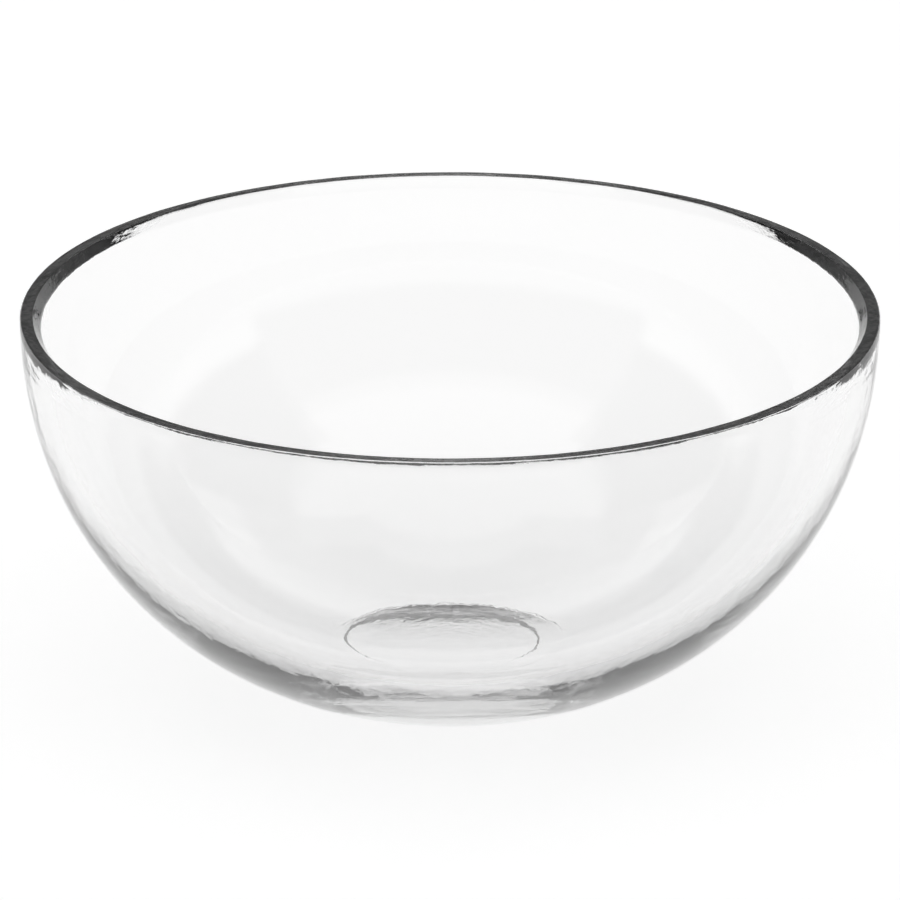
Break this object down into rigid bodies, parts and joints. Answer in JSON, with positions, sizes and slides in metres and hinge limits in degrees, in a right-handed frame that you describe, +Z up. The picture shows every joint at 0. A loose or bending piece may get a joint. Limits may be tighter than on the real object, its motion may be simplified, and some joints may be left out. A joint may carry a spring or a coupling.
{
  "type": "glass bowl",
  "caption": "Round clear glass serving bowl with a hemispherical wall, a flat fire-polished rim bevelled on its inner side, and a small flat foot with a shallow recess.",
  "frame": {"origin": "centre of the foot, on the plane that the bowl rests on", "axes": "+Z up along the bowl's axis, from the foot to the rim; the recess under the foot lies a little towards -X"},
  "size_m": [0.2, 0.2, 0.091],
  "materials": {
    "glass": "clear, fire polished, very faint grey-green in the thick base"
  },
  "bodies": {
    "root": {"bowl": "glass"}
  },
  "joints": []
}
